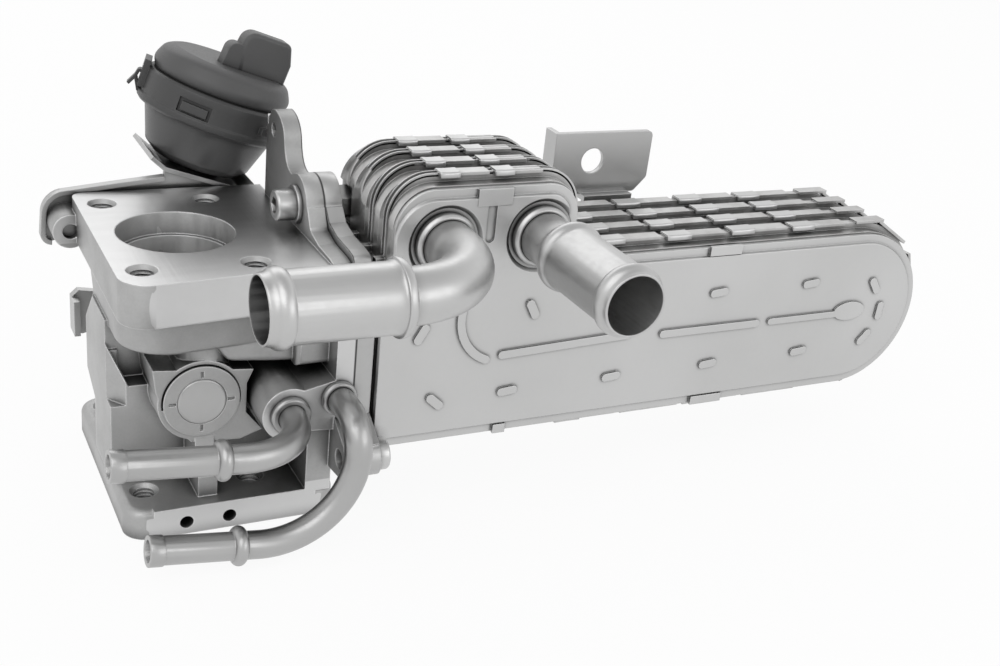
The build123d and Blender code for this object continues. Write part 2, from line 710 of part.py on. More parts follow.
# Pressed bracket behind the cooler
with BuildPart() as rear_bracket:
    with BuildSketch(xz(9.0)) as plate:
        with BuildLine():
            Polyline((134.6, 24.8), (174.6, 24.8), (174.4, 7.5), (169.4, 2.2), (145, 2.2),
                     (134.6, 12.5), (134.6, 24.8))
        make_face()
        fillet(plate.vertices().filter_by_position(Axis.X, 168, 180), 2)
        with Locations((150.5, 14.4)):
            Circle(4.6, mode=Mode.SUBTRACT)
    extrude(amount=sheet_t)
    slab(134.6, 134.6 + sheet_t, 7, 15, 12.5, 24.8)
    slab(147, 167, core_back + cover_t + 1, 9, 0.4, 2.4)
    slab(147, 167, core_back + cover_t + 1, core_back + cover_t + 3, -24, 2.4)
save(rear_bracket.part, "rear_bracket")

# Vacuum actuator, drawn upright at the centre of its can's underside and then leaned over
axis_dir = Vector(sin(radians(act_tilt)), 0, cos(radians(act_tilt)))
side_dir = Vector(cos(radians(act_tilt)), 0, -sin(radians(act_tilt)))
act_base = Vector(act_x, act_y, act_z)
lean = Location((act_x, act_y, act_z), (0, act_tilt, 0))
shaft_at = Vector(0, act_y, shaft_z)
lever_step = radians(lever_swing / 2)
# at rest the pin hangs half the swing below the square position
pin_side = (shaft_at - act_base).dot(side_dir) + lever_r * cos(lever_step)
pin_up = (shaft_at - act_base).dot(axis_dir) - lever_r * sin(lever_step)
pin_mid_side = (shaft_at - act_base).dot(side_dir) + lever_r
strip_front = 41.0 - act_y       # front edge of the bracket's strip, just behind the housing
strip_w = -2.15                  # middle of the strip's sheet under the can


def lean_xz(u, w):
    """X and Z of a point given across and along the actuator's axis."""
    spot = act_base + side_dir * u + axis_dir * w
    return (spot.X, spot.Z)


with BuildPart() as can:
    with BuildSketch(Plane.XZ):
        with BuildLine():
            Polyline((0, can_h), (0, strip_w + 0.75), (9, strip_w + 0.75), (9, 0), (can_r - 7.6, 0),
                     (can_r - 4.2, 2.7), (can_r, can_h), (0, can_h))
        make_face()
    revolve(axis=Axis.Z)
    with Locations((0, 0, can_h / 2)):
        Cylinder(rod_r + run_gap, can_h + 6, mode=Mode.SUBTRACT)
save(lean * can.part, "actuator_can")

with BuildPart() as ring:
    low = can_h
    top = can_h + ring_h
    with BuildSketch(Plane.XZ):
        with BuildLine():
            Polyline((0, low), (ring_r - 0.9, low), (ring_r, low + 0.9), (ring_r, low + 2.6),
                     (ring_r - 0.5, low + 3.1), (ring_r - 0.7, top - 1.0), (ring_r - 1.5, top - 0.1),
                     (ring_r - 2.4, top), (0, top), (0, low))
        make_face()
    revolve(axis=Axis.Z)
    # windows where the clips of the lid show, each with its tongue set back
    for turn in (-122, -32, 58, 148):
        a = radians(turn)
        with Locations(Location((ring_r * cos(a), ring_r * sin(a), low + 5.7), (0, 0, turn))):
            Box(4.0, 11.2, 4.8, mode=Mode.SUBTRACT)
        reach = ring_r - 1.9
        with Locations(Location((reach * cos(a), reach * sin(a), low + 5.4), (0, 0, turn))):
            Box(1.6, 9.0, 2.9)
    # tower and hooked strap on the left, small lug at the front right
    a = radians(165)
    with Locations(Location(((ring_r - 0.4) * cos(a), (ring_r - 0.4) * sin(a), low + 8.4), (0, 0, 165))):
        Box(2.2, 12, 9.4)
    hook_plane = Plane((0, 0, 0), x_dir=(cos(a), sin(a), 0), z_dir=(sin(a), -cos(a), 0))
    with BuildSketch(hook_plane):
        with BuildLine() as strap:
            FilletPolyline((ring_r, low + 8.4), (ring_r + 1.5, low + 8.2), (ring_r + 2.0, low + 6.0),
                           (ring_r - 0.2, low + 1.6), radius=0.7)
        trace(strap.edges(), line_width=1.0)
        with BuildLine() as tip:
            Line((ring_r + 1.8, low + 6.4), (ring_r + 3.6, low + 2.8))
        trace(tip.edges(), line_width=1.0)
    extrude(amount=2.3, both=True)
    a = radians(-64)
    with Locations(Location(((ring_r - 0.2) * cos(a), (ring_r - 0.2) * sin(a), low + 5.7), (0, 0, -64))):
        Box(2.4, 3.0, 2.6)
save(lean * ring.part, "actuator_ring")

with BuildPart() as cap:
    low = can_h + ring_h
    with BuildSketch(Plane.XZ):
        with BuildLine():
            Polyline((0, low), (cap_r - 1.0, low))
            Spline((cap_r - 1.0, low), (cap_r + 0.1, low + 3.2), (cap_r - 1.0, low + 6.2),
                   (cap_r - 3.9, low + cap_h - 0.5), tangents=((0.45, 1), (-1, 0.45)))
            Polyline((cap_r - 3.9, low + cap_h - 0.5), (cap_r - 5.2, low + cap_h), (0, low + cap_h), (0, low))
        make_face()
    revolve(axis=Axis.Z)
save(lean * cap.part, "actuator_cap")

with BuildPart() as plug_head:
    low = can_h + ring_h + cap_h
    with BuildSketch(Plane.XZ.offset(9)) as side:
        with BuildLine():
            Polyline((1.0, low - 3), (-0.4, low + 8), (0.4, low + 13.4), (16.0, low + 13.4),
                     (18.2, low + 6.5), (17.8, low - 3), (1.0, low - 3))
        make_face()
        fillet(side.vertices().group_by(Axis.Y)[-1].sort_by(Axis.X)[0], 4.2)
        fillet(side.vertices().group_by(Axis.Y)[-1].sort_by(Axis.X)[-1], 2.4)
    extrude(amount=-7)
    fillet(plug_head.edges().filter_by_position(Axis.Y, -9.1, -8.9), 1.4)
    with BuildSketch(Plane.XZ.offset(8.6)) as lobe:
        with BuildLine():
            Polyline((-4.9, low - 0.5), (-4.2, low + 8.2), (1.6, low + 8.2), (1.6, low - 0.5),
                     (-4.9, low - 0.5))
        make_face()
        fillet(lobe.vertices().group_by(Axis.Y)[-1].sort_by(Axis.X)[0], 3)
    extrude(amount=-6)
    add(cap.part, mode=Mode.SUBTRACT)
save(lean * plug_head.part, "actuator_connector")

# Sheet bracket: strip with bent wings under the can, web behind the housing, rim along its top
with BuildPart() as strip:
    with BuildSketch(Plane.XZ.offset(-strip_front)):
        with BuildLine() as fold:
            FilletPolyline((-19.0, 0.4), (-13.4, strip_w), (13.2, strip_w), (17.6, 0.9), radius=1.6)
        trace(fold.edges(), line_width=1.5)
    extrude(amount=-27)
    Cylinder(rod_r + 0.7, 10, mode=Mode.SUBTRACT)
with BuildPart() as bracket:
    add(lean * strip.part)
    with BuildSketch(xz(web_y + web_t)):
        with BuildLine() as run:
            Polyline((6.2, 3.2), (-10.6, 1.5), (-27, -0.3))
            ThreePointArc((-27, -0.3), (-30.8, -2.5), (-32.6, -6.6))
            Line((-32.6, -6.6), (-33.1, -13.4))
            ThreePointArc((-33.1, -13.4), (-32.5, -15.8), (-30.4, -16.9))
        trace(run.edges(), line_width=web_t)
    extrude(amount=3.3)
    with BuildSketch(xz(web_y + web_t)):
        with BuildLine():
            Polyline((6.2, 3.2), lean_xz(-13.4, strip_w), lean_xz(13.2, strip_w), (30.5, -9), (10, -12),
                     (-18, -14), (-30.4, -16.9), (-33.1, -13.4), (-32.6, -6.6), (-30.8, -2.5), (-27, -0.3),
                     (-10.6, 1.5), (6.2, 3.2))
        make_face()
        with Locations((lug_x, lug_z)):
            Circle(lug_screw_r + 0.3, mode=Mode.SUBTRACT)
    extrude(amount=web_t)
save(bracket.part, "actuator_bracket")

# Screw from behind, through the web and into the housing's lug
with BuildPart() as bracket_screw:
    head_back = web_y + web_t + 4
    with BuildSketch(xz(head_back)):
        with Locations((lug_x, lug_z)):
            Circle(4.3)
    extrude(amount=4)
    fillet(bracket_screw.faces().sort_by(Axis.Y)[-1].edges(), 0.6)
    with BuildSketch(xz(head_back)):
        with Locations((lug_x, lug_z)):
            RegularPolygon(2.3, 6)
    extrude(amount=2.2, mode=Mode.SUBTRACT)
    with BuildSketch(xz(web_y + web_t)):
        with Locations((lug_x, lug_z)):
            Circle(lug_screw_r)
    extrude(amount=web_y + web_t - lug_front - 3)
save(bracket_screw.part, "bracket_screw")

# Actuator rod with a slotted eye; it is cranked to clear the shaft
slot_side = (pin_side + pin_mid_side) / 2
slot_long = abs(pin_side - pin_mid_side)
with BuildPart() as rod:
    with BuildLine() as rod_line:
        Line((0, 0, 5), (0, 0, -16))
        Line((0, 0, -16), (slot_side, 0, -16 - 0.9 * abs(slot_side)))
        Line((slot_side, 0, -16 - 0.9 * abs(slot_side)), (slot_side, 0, pin_up + 4.5))
    with BuildSketch(Plane((0, 0, 5))):
        Circle(rod_r)
    sweep(path=rod_line.wire(), transition=Transition.ROUND)
    with BuildSketch(Plane.XZ.offset(2.2)) as eye:
        with Locations((slot_side, pin_up)):
            RectangleRounded(12.4, 10.4, 4.2)
            SlotOverall(2 * (pin_r + 0.2) + slot_long, 2 * (pin_r + 0.2), mode=Mode.SUBTRACT)
    extrude(amount=-4.4)
save(lean * rod.part, "actuator_rod")

# Lever on the shaft: short ear to the rod pin, stop arm to the left
pin_at = act_base + side_dir * pin_side + axis_dir * pin_up
with BuildPart() as lever:
    with BuildSketch(xz(lever_y)) as plate:
        with BuildSketch() as ear:
            with Locations((0, shaft_z)):
                Circle(7)
            with Locations((pin_at.X, pin_at.Z)):
                Circle(pin_r + 2.6)
            make_hull()
        add(ear.sketch)
        with BuildLine():
            Polyline((1, shaft_z + 7), (-12, shaft_z + 4.5), (-22, shaft_z + 6.2), (-24.4, shaft_z + 4),
                     (-24.4, shaft_z - 8.6), (-21, shaft_z - 10), (-12, shaft_z - 7.5), (1, shaft_z - 7),
                     (1, shaft_z + 7))
        make_face()
        with Locations((0, shaft_z)):
            Circle(shaft_r - 1, mode=Mode.SUBTRACT)
        with Locations((pin_at.X, pin_at.Z)):
            Circle(pin_r - 0.5, mode=Mode.SUBTRACT)
    extrude(amount=-lever_t)
    slab(-24.4, -22.4, lever_y - 5, lever_y + 1, shaft_z - 8.6, shaft_z + 4)
save(lever.part, "bypass_lever")

with BuildPart() as pin:
    with BuildSketch(xz(lever_y + lever_t)):
        with Locations((pin_at.X, pin_at.Z)):
            Circle(pin_r)
    extrude(amount=-(act_y + 3.6 - lever_y - lever_t))
    with BuildSketch(xz(act_y + 2.6)):
        with Locations((pin_at.X, pin_at.Z)):
            Circle(pin_r + 1.3)
    extrude(amount=-1.2)
save(pin.part, "lever_pin")

# Shaft, slotted for the flap, with its riveted end at the lever
with BuildPart() as shaft:
    with BuildSketch(xz(lever_y)):
        with Locations((0, shaft_z)):
            Circle(shaft_r)
    extrude(amount=lever_y - (plug_y + 5))
    with BuildSketch(xz(lever_y + lever_t + 1)):
        with Locations((0, shaft_z)):
            Circle(shaft_r - 1)
    extrude(amount=lever_t + 2)
    slab(-6, 6, -duct_r + flap_gap, duct_r - flap_gap, shaft_z - flap_t / 2, shaft_z + flap_t / 2,
         mode=Mode.SUBTRACT)
save(shaft.part, "flap_shaft")

with BuildPart() as flap:
    with BuildSketch(xy(shaft_z - flap_t / 2)):
        Circle(duct_r - flap_gap)
    extrude(amount=flap_t)
save(flap.part, "bypass_flap")
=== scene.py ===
import json
import math

import bmesh
import bpy
from mathutils import Matrix, Vector


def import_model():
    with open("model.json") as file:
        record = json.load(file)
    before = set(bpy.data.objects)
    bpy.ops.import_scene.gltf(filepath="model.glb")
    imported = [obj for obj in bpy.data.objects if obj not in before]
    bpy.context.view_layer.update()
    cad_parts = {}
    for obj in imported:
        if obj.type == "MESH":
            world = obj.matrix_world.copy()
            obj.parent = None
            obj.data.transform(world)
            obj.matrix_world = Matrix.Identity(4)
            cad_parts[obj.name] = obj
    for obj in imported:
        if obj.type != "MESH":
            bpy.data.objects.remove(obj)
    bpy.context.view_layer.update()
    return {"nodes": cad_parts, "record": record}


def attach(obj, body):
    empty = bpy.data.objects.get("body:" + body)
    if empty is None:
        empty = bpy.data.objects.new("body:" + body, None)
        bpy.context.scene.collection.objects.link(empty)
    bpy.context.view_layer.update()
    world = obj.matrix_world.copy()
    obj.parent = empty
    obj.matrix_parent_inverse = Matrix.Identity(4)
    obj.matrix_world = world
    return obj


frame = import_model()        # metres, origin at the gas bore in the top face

nodes = frame["nodes"]
mounts = {mount["name"]: mount for mount in frame["record"]["mounts"]}
MM = 0.001

# Camera fitted to the photograph
CAMERA_AT = (-0.09269, -0.37868, 0.14573)
CAMERA_RIGHT = (0.89148, -0.44101, 0.10379)
CAMERA_UP = (0.09620, 0.40811, 0.90785)
CAMERA_AHEAD = (0.44273, 0.79934, -0.40625)
LENS_MM = 47.26
SENSOR_MM = 36.0

# Housing, as in the CAD
BLOCK_FOOT = -0.0134     # underside of the top block
BASE_TOP = -0.0727       # upper side of the base flange
BASE_FRONT = mounts["base_front_holes"]["pos_m"][1]
BASE_ZONE = -0.07        # the base's front face lies below this
PORT_FACE = -0.0447      # face that the small pipes come out of
JOINT_X = 0.0436         # where the housing meets the cooler's flange
FLOOR_Z = -0.0822        # just under the base
HOSE_IN = 0.00905        # just over the inner radius of the large pipes

# Cooler core, as in the CAD
CORE_BACK = 0.001
CORE_HEIGHT = 0.060      # of the long body, down from Z = 0
LAYERS, LAYER = 4, 0.011
SEAM_OUT = 0.0022        # seam beyond the shell
TAB_OUT = 0.0029         # folded tab beyond the shell
TAB_PITCH, TAB_LEN = 0.0264, 0.0242
HUMP_LEFT, HUMP_RIGHT = 0.0534, 0.1156
HUMP_RISE = 0.0256


# Node trees

PLAIN = (1, 1, 1)        # no stretch of a texture


class Graph:
    """Node tree of a material or a world. Most of its methods add nodes and return an output socket."""

    def __init__(self, owner):
        owner.use_nodes = True
        self.owner = owner
        self.tree = owner.node_tree

    def feed(self, socket, value):
        """Wires an output socket to an input, or sets the input to a constant."""
        if isinstance(value, bpy.types.NodeSocket):
            self.tree.links.new(value, socket)
        else:
            socket.default_value = value

    def node(self, kind, sockets, **settings):
        """New node: its settings, and its inputs by name or number."""
        made = self.tree.nodes.new(kind)
        for key, value in settings.items():
            setattr(made, key, value)
        for key, value in sockets.items():
            self.feed(made.inputs[key], value)
        return made

    def calc(self, kind, *values):
        return self.node("ShaderNodeMath", dict(enumerate(values)), operation=kind).outputs[0]

    def coordinate(self, space, axis):
        """One axis of a place (Object, Generated) or of the way the surface faces (Normal)."""
        spot = self.node("ShaderNodeTexCoord", {})
        split = self.node("ShaderNodeSeparateXYZ", {"Vector": spot.outputs[space]})
        return split.outputs[axis]

    def noise(self, scale, detail, rough, stretch=PLAIN):
        spot = self.node("ShaderNodeTexCoord", {})
        place = self.node("ShaderNodeMapping", {"Vector": spot.outputs["Object"], "Scale": stretch})
        made = self.node("ShaderNodeTexNoise", {"Vector": place.outputs["Vector"], "Scale": scale,
                                                "Detail": detail, "Roughness": rough})
        return made.outputs["Fac"]

    def ramp(self, source, low, high, start=0.3, end=0.7):
        made = self.node("ShaderNodeMapRange", {"Value": source, "From Min": start, "From Max": end,
                                                "To Min": low, "To Max": high})
        return made.outputs["Result"]

    def tint(self, source, *stops):
        """Colour by the source's value. A stop is a value and its colour."""
        made = self.node("ShaderNodeValToRGB", {"Fac": source})
        elements = made.color_ramp.elements
        for place, color in stops[2:]:
            elements.new(place)
        for element, (place, color) in zip(elements, stops):
            element.position = place
            element.color = (*color, 1)
        return made.outputs["Color"]

    def mix(self, share, a, b):
        """Number between a and b."""
        return self.node("ShaderNodeMix", {0: share, 2: a, 3: b}, data_type="FLOAT").outputs[0]

    def mix_color(self, share, a, b, way="MIX"):
        """Colour between a and b."""
        sockets = {0: share, 6: a, 7: b}
        return self.node("ShaderNodeMix", sockets, data_type="RGBA", blend_type=way).outputs[2]

    def scaled(self, color, factor):
        return self.mix_color(1.0, color, factor, "MULTIPLY")

    def paint_highlight(self, color, mask, share, light):
        """Painted highlight: moves a colour towards a light grey by mask times share."""
        return self.mix_color(self.calc("MULTIPLY", mask, share), color, (light, light, light, 1))

    def bump(self, height, depth, strength, after):
        made = self.node("ShaderNodeBump", {"Height": height, "Distance": depth, "Strength": strength,
                                            "Normal": after})
        return made.outputs["Normal"]

    def painted_corner_shade(self, reach, dark, low=0.35, high=0.95, own=False):
        """Painted shade from ambient occlusion, as a factor: 1 on open surfaces, down to dark in corners.
        With own, only the piece itself shades it.
        """
        made = self.node("ShaderNodeAmbientOcclusion", {"Distance": reach}, samples=8, only_local=own)
        return self.ramp(made.outputs["AO"], dark, 1.0, low, high)

    def rim(self, radius, gain=6.0):
        """Normal rounded over sharp edges, and a mask that is 1 on those edges, where the materials put a
        painted highlight.
        """
        soft = self.node("ShaderNodeBevel", {"Radius": radius}, samples=4).outputs["Normal"]
        flat = self.node("ShaderNodeNewGeometry", {}).outputs["Normal"]
        dot = self.node("ShaderNodeVectorMath", {0: soft, 1: flat}, operation="DOT_PRODUCT")
        mask = self.calc("MULTIPLY", self.calc("SUBTRACT", 1.0, dot.outputs["Value"]), gain)
        return soft, self.ramp(mask, 0.0, 1.0, 0.0, 1.0)

    def faces_along(self, axis, least):
        """1 where the surface faces along an axis, by at least a cosine, or against it if negative."""
        kind = "GREATER_THAN" if least > 0 else "LESS_THAN"
        return self.calc(kind, self.coordinate("Normal", axis), least)

    def near(self, source, value, half):
        """1 where source is within half of value."""
        gap = self.calc("ABSOLUTE", self.calc("SUBTRACT", source, value))
        return self.calc("LESS_THAN", gap, half)

    def joint_line(self, at, half=0.00035, dark=0.16, flat=0.8):
        """Thin dark line where two parts meet at X = at, but not on the joint's own flat face."""
        gap = self.calc("ABSOLUTE", self.calc("SUBTRACT", self.coordinate("Object", "X"), at))
        own_face = self.calc("GREATER_THAN", self.calc("ABSOLUTE", self.coordinate("Normal", "X")), flat)
        return self.ramp(self.calc("ADD", gap, own_face), dark, 1.0, half * 0.5, half * 1.3)

    def painted_bore_shade(self, hose_end, along, tones, fade, depth):
        """Painted shade in a pipe's inside, as far as depth from its mouth: two tones with a fade between.
        """
        mouth = dict(zip("XYZ", mounts[hose_end]["pos_m"]))
        squares = []
        for axis in "XYZ".replace(along, ""):
            gap = self.calc("SUBTRACT", self.coordinate("Object", axis), mouth[axis])
            squares.append(self.calc("MULTIPLY", gap, gap))
        inside = self.calc("LESS_THAN", self.calc("ADD", *squares), HOSE_IN * HOSE_IN)
        place = self.coordinate("Object", along)
        inside = self.calc("MULTIPLY", inside, self.calc("LESS_THAN", place, mouth[along] + depth))
        tone = self.ramp(place, *tones, *(mouth[along] + step for step in fade))
        darker = self.calc("MULTIPLY", inside, self.calc("SUBTRACT", 1.0, tone))
        return self.calc("SUBTRACT", 1.0, darker)

    def finish(self, color, rough, normal, metal=1.0):
        """Feeds the looks to the material's shader and returns the material."""
        shader = self.tree.nodes["Principled BSDF"].inputs
        values = {"Base Color": color, "Roughness": rough, "Normal": normal, "Metallic": metal}
        for name, value in values.items():
            self.feed(shader[name], value)
        return self.owner


# Materials

def cast_aluminium():
    """Die-cast skin, with milled faces where the casting meets its neighbours, painted shade in its
    corners and hollows, and a painted highlight on its sharp edges.
    """
    g = Graph(bpy.data.materials.new("cast_aluminium"))
    y, z = g.coordinate("Object", "Y"), g.coordinate("Object", "Z")
    block = g.calc("GREATER_THAN", z, BLOCK_FOOT)
    base = g.calc("MULTIPLY", g.near(y, BASE_FRONT, 0.0002), g.calc("LESS_THAN", z, BASE_ZONE))
    port = g.near(y, PORT_FACE, 0.0003)
    matched = g.calc("MAXIMUM", g.calc("MAXIMUM", block, base), port)
    front = g.calc("MULTIPLY", g.faces_along("Y", -0.985), matched)
    top = g.calc("MULTIPLY", g.near(z, 0.0, 0.0002), g.faces_along("Z", 0.98))
    milled = g.calc("MAXIMUM", top, g.calc("MULTIPLY", front, 0.75))

    cloud, grain = g.noise(34, 4, 0.6), g.noise(1300, 3, 0.65)
    raw = g.tint(cloud, (0.3, (0.385, 0.385, 0.383)), (0.7, (0.52, 0.52, 0.518)))
    sheen = g.noise(45, 2, 0.5, (1, 5, 1))
    clean = g.tint(sheen, (0.3, (0.635, 0.635, 0.635)), (0.7, (0.675, 0.675, 0.675)))
    color = g.mix_color(milled, raw, clean)
    # painted shade: darker in small corners, and in the casting's own deep hollows
    color = g.scaled(color, g.painted_corner_shade(0.005, 0.42))
    color = g.scaled(color, g.painted_corner_shade(0.03, 0.26, 0.05, 0.5, own=True))
    # painted highlight on the sharp edges
    soft, edges = g.rim(0.0006)
    color = g.paint_highlight(color, edges, 0.8, 0.92)
    color = g.scaled(color, g.joint_line(JOINT_X))

    fine = g.noise(300, 2, 0.5, (1, 12, 1))
    rough = g.mix(milled, g.ramp(grain, 0.44, 0.58), g.ramp(fine, 0.30, 0.36))
    height = g.mix(milled, grain, g.noise(900, 1, 0.5, (1, 0.03, 1)))
    return g.finish(color, rough, g.bump(height, 0.00009, 0.3, soft))


def stainless(name, light, rough, streak=PLAIN, bump=0.10, edge=0.0003, deep=0.0, tight=0.0,
              joint=None, inside=None):
    """Rolled or drawn steel with painted shade: it darkens in corners, in gaps as far as deep, in small
    corners as far as tight, and inside a pipe when inside is given. Its sharp edges get a painted
    highlight.
    """
    g = Graph(bpy.data.materials.new(name))
    fine = g.noise(500, 3, 0.55, streak)
    dull = (light * 0.90, light * 0.90, light * 0.895)
    color = g.tint(g.noise(16, 3, 0.5), (0.3, dull), (0.7, (light, light, light * 0.997)))
    # painted shade in corners, gaps and pipe mouths
    color = g.scaled(color, g.painted_corner_shade(0.004, 0.40))
    if deep:
        color = g.scaled(color, g.painted_corner_shade(deep, 0.10, 0.12, 0.60))
    if tight:
        color = g.scaled(color, g.painted_corner_shade(tight, 0.42, 0.55, 0.93))
    if inside:
        color = g.scaled(color, g.painted_bore_shade(**inside))
    # painted highlight on the sharp edges
    soft, edges = g.rim(edge)
    color = g.paint_highlight(color, edges, 0.45, 0.85)
    if joint is not None:
        color = g.scaled(color, g.joint_line(joint))
    return g.finish(color, g.ramp(fine, rough - 0.03, rough + 0.05), g.bump(fine, 0.00002, bump, soft))


def braze_steel():
    """Plate edges: satin steel with soft darker stains from the furnace, painted shade in the gaps between
    the plates and a painted highlight on their sharp edges.
    """
    g = Graph(bpy.data.materials.new("braze_steel"))
    stain, fine = g.noise(90, 4, 0.6), g.noise(600, 3, 0.6)
    color = g.tint(stain, (0.34, (0.44, 0.435, 0.43)), (0.62, (0.57, 0.57, 0.565)))
    # painted shade in the gaps between plates
    color = g.scaled(color, g.painted_corner_shade(0.0035, 0.14, 0.3, 0.9))
    # painted highlight on the sharp edges
    soft, edges = g.rim(0.0003)
    color = g.paint_highlight(color, edges, 0.6, 0.85)
    return g.finish(color, g.ramp(fine, 0.31, 0.40), g.bump(fine, 0.00004, 0.2, soft))


def black_plastic(name, dark, light, rough):
    """Dark coat or plastic with a fine grain, a faint painted highlight on its sharp edges and painted
    shade in its corners.
    """
    g = Graph(bpy.data.materials.new(name))
    grain, haze = g.noise(2200, 2, 0.5), g.noise(26, 2, 0.5)
    color = g.tint(haze, (0.3, (dark, dark, dark * 1.01)), (0.7, (light, light, light * 1.01)))
    # faint painted highlight on the sharp edges
    soft, edges = g.rim(0.0005, 4.0)
    color = g.paint_highlight(color, edges, 0.25, 0.30)
    # painted shade in small corners
    color = g.scaled(color, g.painted_corner_shade(0.003, 0.35))
    rough = g.ramp(grain, rough - 0.05, rough + 0.08)
    return g.finish(color, rough, g.bump(grain, 0.00004, 0.25, soft), metal=0.0)


# Looks of the CAD nodes

def edge_dress(obj, width):
    """Rounds the node's sharp edges a little, so that they catch the light."""
    weld = obj.modifiers.new("weld", "WELD")
    weld.merge_threshold = 0.000002
    round_off = obj.modifiers.new("round", "BEVEL")
    round_off.limit_method = "ANGLE"
    round_off.angle_limit = math.radians(32)
    round_off.width = width
    round_off.segments = 2
    round_off.use_clamp_overlap = True
    round_off.harden_normals = True


def repaint(material, width, *names):
    for name in names:
        obj = nodes[name]
        obj.data.materials.clear()
        obj.data.materials.append(material)
        edge_dress(obj, width)


# painted shade inside the mouths of the two large pipes
elbow_bore_shade = dict(hose_end="hose_end_elbow", along="X", tones=(0.16, 0.50), fade=(0.0044, 0.0134),
                    depth=0.0334)
straight_bore_shade = dict(hose_end="hose_end_straight", along="Y", tones=(0.70, 1.00), fade=(0.0026, 0.0166),
                       depth=0.0356)
flange_steel = stainless("flange_steel", 0.50, 0.40, bump=0.3, edge=0.0004, joint=JOINT_X)
plate_steel = stainless("plate_steel", 0.585, 0.36, edge=0.0004, tight=0.0013)
tube_steel = stainless("tube_steel", 0.57, 0.36, deep=0.012)
elbow_steel = stainless("elbow_steel", 0.57, 0.36, inside=elbow_bore_shade)
stub_steel = stainless("stub_steel", 0.55, 0.38, inside=straight_bore_shade)
small_tube = stainless("small_tube", 0.47, 0.34)
sheet_steel = stainless("sheet_steel", 0.50, 0.33, streak=(1, 1, 6), bump=0.12, edge=0.0004)
bolt_steel = stainless("bolt_steel", 0.62, 0.34, bump=0.15)
clip_steel = stainless("clip_steel", 0.58, 0.34, bump=0.2)

repaint(cast_aluminium(), 0.0004, "valve_housing")
repaint(flange_steel, 0.0004, "header_flange")
repaint(braze_steel(), 0.00025, *(f"core_plate_{n + 1}" for n in range(LAYERS)), "braze_frame")
repaint(plate_steel, 0.0006, "front_cover", "rear_cover")
nodes["front_cover"].modifiers["round"].segments = 4
repaint(tube_steel, 0.0002, "stub_collars")
repaint(stub_steel, 0.0002, "straight_pipe")
repaint(elbow_steel, 0.0002, "elbow_pipe")
repaint(small_tube, 0.0002, "small_pipe_upper", "small_pipe_lower", "pipe_ferrules")
repaint(sheet_steel, 0.0003, "rear_bracket", "actuator_bracket", "bypass_lever", "core_plug")
repaint(bolt_steel, 0.0003, "flange_bush")
repaint(bolt_steel, 0.0002, "flange_screw", "flange_washer", "flange_nut", "bracket_screw")
repaint(bolt_steel, 0.0002, "actuator_rod", "lever_pin", "flap_shaft", "bypass_flap")
repaint(black_plastic("black_plastic", 0.060, 0.082, 0.46), 0.0003, "actuator_cap", "actuator_connector")
repaint(black_plastic("ring_black", 0.036, 0.050, 0.42), 0.0003, "actuator_ring")
repaint(black_plastic("can_coating", 0.052, 0.068, 0.34), 0.0003, "actuator_can")


# New meshes

def skin(bm, rows):
    """Closed surface over rows of points: each row is a ring, and a row of one point is a tip."""
    rows = [[bm.verts.new(spot) for spot in row] for row in rows]
    for one, two in zip(rows, rows[1:]):
        sides = max(len(one), len(two))
        for k in range(sides):
            n = (k + 1) % sides
            corners = (one[k % len(one)], one[n % len(one)], two[n % len(two)], two[k % len(two)])
            bm.faces.new(tuple(dict.fromkeys(corners)))
    for end in (rows[0], rows[-1]):
        if len(end) > 1:
            bm.faces.new(end)


def build_object(name, builder):
    bm = bmesh.new()
    builder(bm)
    bmesh.ops.recalc_face_normals(bm, faces=bm.faces)
    mesh = bpy.data.meshes.new(name)
    bm.to_mesh(mesh)
    bm.free()
    obj = bpy.data.objects.new(name, mesh)
    bpy.context.collection.objects.link(obj)
    return obj


# Tapped holes: countersunk mouth and thread turns, cut by a modifier

THREAD_PITCH = 0.00125
THREAD_HEIGHT = 0.0006
TURN = ((0.12, 0.0), (0.5, THREAD_HEIGHT), (0.88, 0.0))      # share of the pitch, height over the core
SINK = 0.0006            # how far the countersink is wider than the thread
CUTTER_SIDES = 40
TAPPED = (("gas_flange_top", 0.0, 0.0076), ("gas_flange_base", BASE_TOP, 0.0070))   # mouth's Z, depth


def thread_profile(core_r, depth):
    """Radius and height of a cutter: a cone that stands over the mouth, then a zigzag of turns."""
    low = -(THREAD_HEIGHT + SINK)
    profile = [(0.0, SINK), (core_r + THREAD_HEIGHT + 2 * SINK, SINK), (core_r, low)]
    while low - THREAD_PITCH > -depth:
        profile += [(core_r + rise, low - THREAD_PITCH * share) for share, rise in TURN]
        low -= THREAD_PITCH
    return profile + [(core_r, -depth), (0.0, -depth)]


def thread_cutter(bm):
    angles = [math.tau * k / CUTTER_SIDES for k in range(CUTTER_SIDES)]
    for name, face_z, depth in TAPPED:
        dims = mounts[name]["dims"]
        profile = thread_profile(dims["hole_r_mm"] * MM, depth)
        for side_x, side_y in ((-1, -1), (-1, 1), (1, -1), (1, 1)):
            x = side_x * dims["spacing_x_mm"] * MM / 2
            y = side_y * dims["spacing_y_mm"] * MM / 2
            skin(bm, [[(x + r * math.cos(a), y + r * math.sin(a), face_z + drop)
                       for a in (angles if r else angles[:1])] for r, drop in profile])


def cut_threads():
    cutter = build_object("thread_cutter", thread_cutter)
    cutter.hide_render = True
    cutter.hide_viewport = True
    cut = nodes["valve_housing"].modifiers.new("threads", "BOOLEAN")
    cut.operation = "DIFFERENCE"
    cut.solver = "EXACT"
    cut.object = cutter


cut_threads()


def add_piece(name, builder, material, body="housing"):
    """New piece that rides on a body, smooth but for its folds."""
    obj = build_object(name, builder)
    obj.data.materials.append(material)
    for face in obj.data.polygons:
        face.use_smooth = True
    obj.data.set_sharp_from_angle(angle=math.radians(40))
    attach(obj, body)
    return obj


